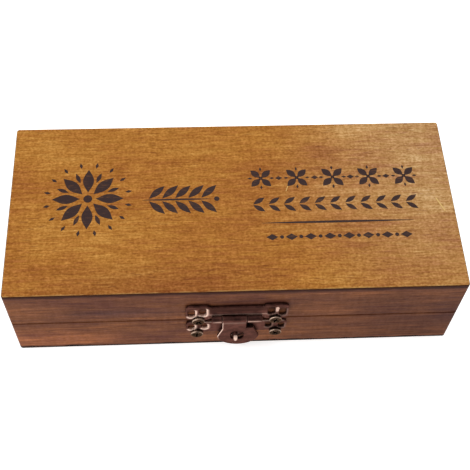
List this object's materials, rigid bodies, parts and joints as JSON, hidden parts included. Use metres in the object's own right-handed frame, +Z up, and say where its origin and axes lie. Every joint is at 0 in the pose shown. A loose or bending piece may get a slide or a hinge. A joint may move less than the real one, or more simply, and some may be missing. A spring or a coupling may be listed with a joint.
{
  "type": "alphabet stamp box",
  "caption": "Small hinged wooden box with a pierced metal hasp and staple on the front, holding rows of wooden letter stamps with rubber faces.",
  "frame": {"origin": "middle of the flat underside of the closed box, without the latch and the hinges", "axes": "+X along the box to the right as seen from the latch, +Y from the latch to the hinges, +Z up"},
  "size_m": [0.15, 0.0745, 0.038],
  "materials": {
    "stained_wood": "reddish brown stained softwood with a worn satin finish",
    "top_panel_wood": "golden brown stained thin board with fine grain and dark edges",
    "latch_metal": "antique copper, dark in the hollows and rubbed pink on the edges",
    "hinge_metal": "antique bronze",
    "screw_metal": "dark antique brass, cross recess",
    "stamp_wood": "pale sanded hardwood with a thin clear coat",
    "stamp_rubber": "matt red-brown rubber"
  },
  "bodies": {
    "base": {"base_front_wall": "stained_wood", "base_back_wall": "stained_wood", "base_left_wall": "stained_wood", "base_right_wall": "stained_wood", "base_bottom_panel": "stained_wood", "catch_plate": "latch_metal", "catch_staple": "latch_metal", "catch_screws": "screw_metal", "left_hinge_base_leaf": "hinge_metal", "right_hinge_base_leaf": "hinge_metal", "left_hinge_pin": "hinge_metal", "right_hinge_pin": "hinge_metal", "hinge_base_screws": "screw_metal", "stamp_a": "stamp_wood", "stamp_b": "stamp_wood", "stamp_c": "stamp_wood", "stamp_d": "stamp_wood", "stamp_e": "stamp_wood", "stamp_f": "stamp_wood", "stamp_g": "stamp_wood", "stamp_h": "stamp_wood", "stamp_i": "stamp_wood", "stamp_j": "stamp_wood", "stamp_k": "stamp_wood", "stamp_l": "stamp_wood", "stamp_m": "stamp_wood", "stamp_n": "stamp_wood", "stamp_o": "stamp_wood", "stamp_p": "stamp_wood", "stamp_q": "stamp_wood", "stamp_r": "stamp_wood", "stamp_s": "stamp_wood", "stamp_t": "stamp_wood", "stamp_u": "stamp_wood", "stamp_v": "stamp_wood", "stamp_w": "stamp_wood", "stamp_x": "stamp_wood", "stamp_y": "stamp_wood", "stamp_z": "stamp_wood", "stamp_ampersand": "stamp_wood", "stamp_exclamation": "stamp_wood", "stamp_question": "stamp_wood", "stamp_stop": "stamp_wood", "rubber_dies_back_row": "stamp_rubber", "rubber_dies_middle_row": "stamp_rubber", "rubber_dies_front_row": "stamp_rubber"},
    "lid": {"lid_front_wall": "stained_wood", "lid_back_wall": "stained_wood", "lid_left_wall": "stained_wood", "lid_right_wall": "stained_wood", "lid_top_panel": "top_panel_wood", "hasp_leaf": "latch_metal", "hasp_pin": "latch_metal", "hasp_screws": "screw_metal", "left_hinge_lid_leaf": "hinge_metal", "right_hinge_lid_leaf": "hinge_metal", "hinge_lid_screws": "screw_metal"},
    "hasp": {"hasp_tongue": "latch_metal"}
  },
  "joints": [
    {"name": "lid_hinge", "type": "hinge", "parent": "base", "child": "lid", "pos_m": [0, 0.03525, 0.019], "axis": [-1, 0, 0], "range_deg": [0, 180]},
    {"name": "hasp_swing", "type": "hinge", "parent": "lid", "child": "hasp", "pos_m": [0, -0.0351, 0.022], "axis": [-1, 0, 0], "range_deg": [0, 155]}
  ]
}
